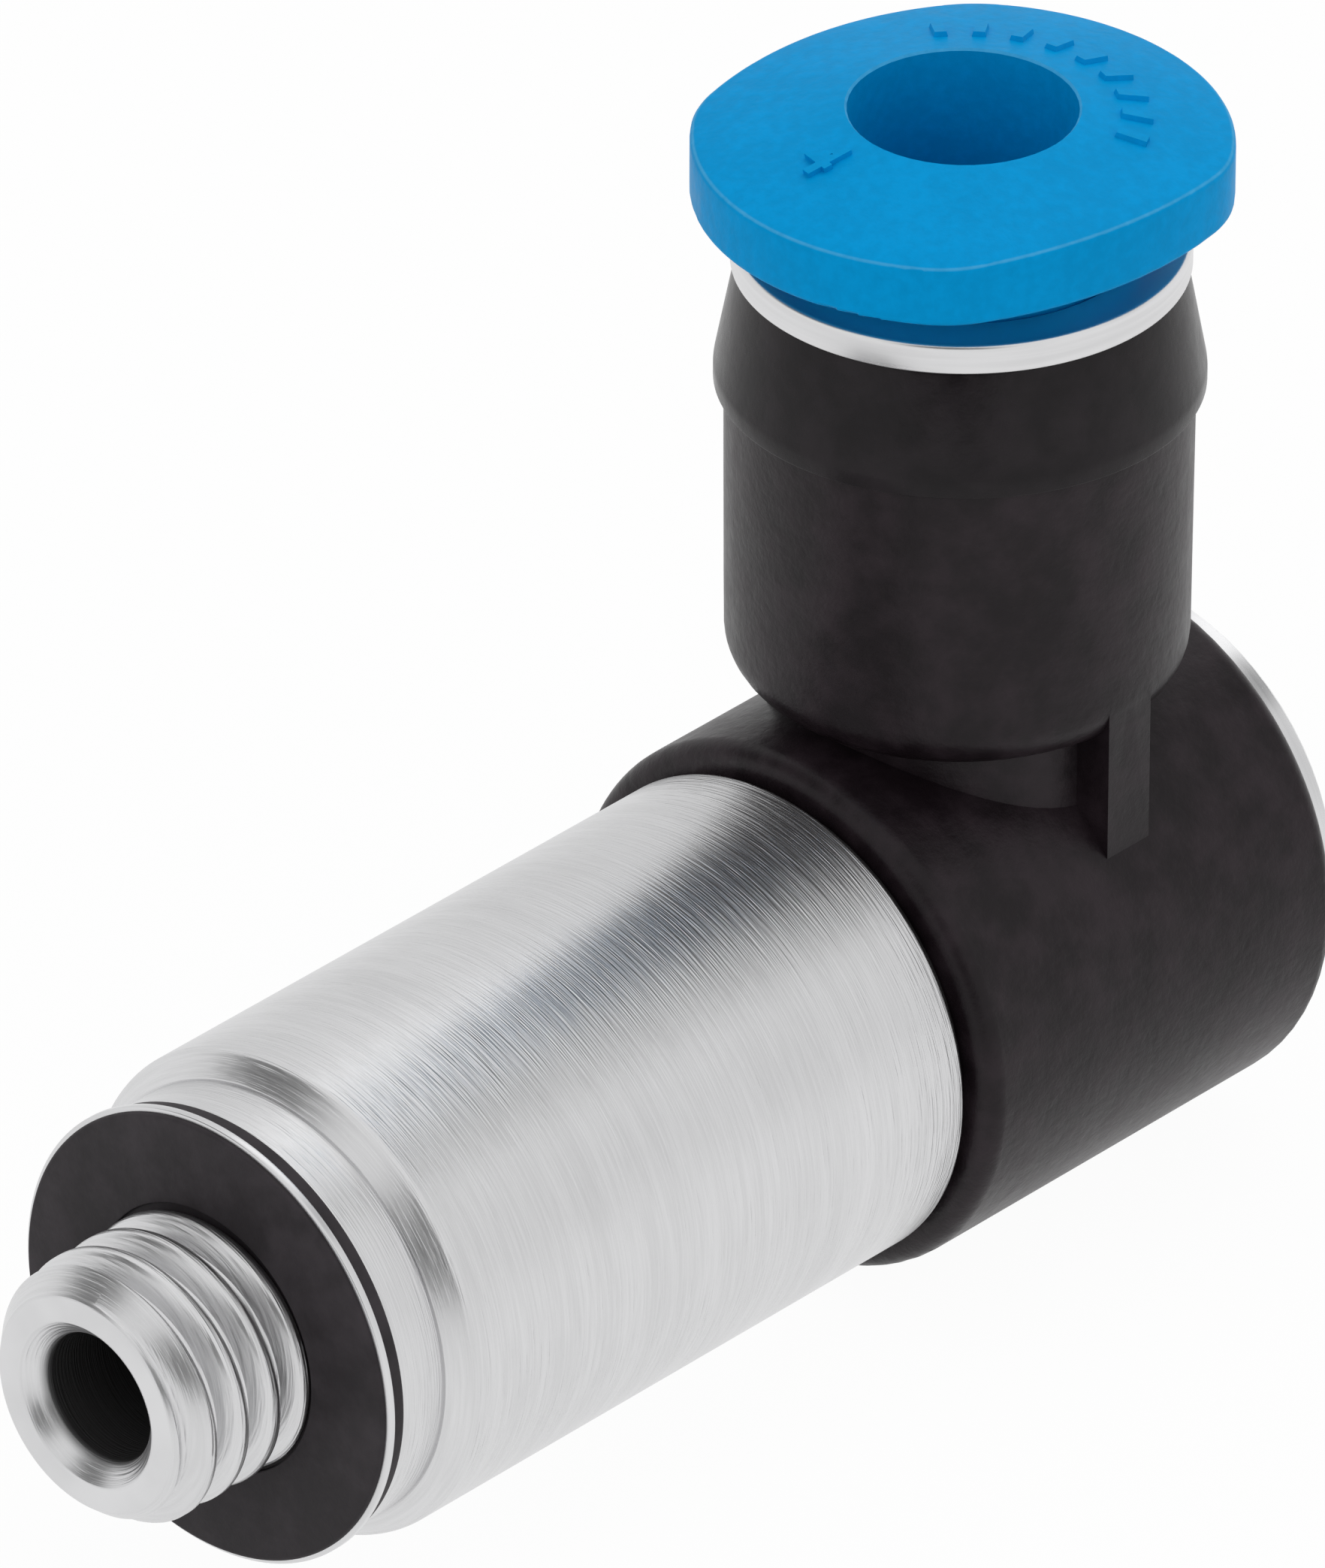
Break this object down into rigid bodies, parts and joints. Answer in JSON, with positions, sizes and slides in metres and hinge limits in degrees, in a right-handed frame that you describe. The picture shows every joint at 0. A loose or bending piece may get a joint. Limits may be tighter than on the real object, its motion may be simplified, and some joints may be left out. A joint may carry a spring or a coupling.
{
  "type": "push to connect fitting",
  "caption": "Right-angle push to connect tube fitting with a long swivelling threaded stud, toothed grip ring and sprung oval release ring.",
  "frame": {"origin": "where the stud's axis crosses the front face of the sealing washer", "axes": "-X is the way the thread points out, +X runs along the stud to the rear disc, +Z is the way the tube leaves its socket"},
  "size_m": [0.028, 0.0102, 0.0216],
  "materials": {
    "nickel_brass": "nickel plated, fine turned",
    "bush_metal": "nickel plated, satin",
    "gasket_metal": "bright edge",
    "black_rubber": "matte black",
    "slip_plastic": "natural, matte",
    "black_housing": "fine moulded texture",
    "black_cap": "smooth, satin",
    "spring_steel": "bright stainless",
    "blue_release": "satin, fine moulded texture"
  },
  "bodies": {
    "stud": {"threaded_barrel": "nickel_brass", "gasket_ring": "gasket_metal", "gasket_rubber": "black_rubber", "swivel_spindle": "nickel_brass", "spindle_joint_o_ring": "black_rubber", "front_slip_washer": "slip_plastic", "rear_slip_washer": "slip_plastic", "front_o_ring": "black_rubber", "rear_o_ring": "black_rubber"},
    "elbow": {"elbow_housing": "black_housing", "socket_cap": "black_cap", "metal_bush": "bush_metal", "tube_seal": "black_rubber", "seal_guide_ring": "slip_plastic", "grip_support_ring": "slip_plastic"},
    "collet": {"grip_ring": "spring_steel"},
    "release": {"release_ring": "blue_release"}
  },
  "joints": [
    {"name": "elbow_swivel", "type": "hinge", "parent": "stud", "child": "elbow", "pos_m": [0.01957, 0, 0], "axis": [1, 0, 0], "continuous": true},
    {"name": "collet_turn", "type": "hinge", "parent": "elbow", "child": "collet", "pos_m": [0.01957, 0, 0.0105], "axis": [0, 0, 1], "continuous": true},
    {"name": "release_push", "type": "slide", "parent": "collet", "child": "release", "axis": [0, 0, -1], "range_m": [0, 0.00075], "stiffness_N_per_m": 150}
  ]
}
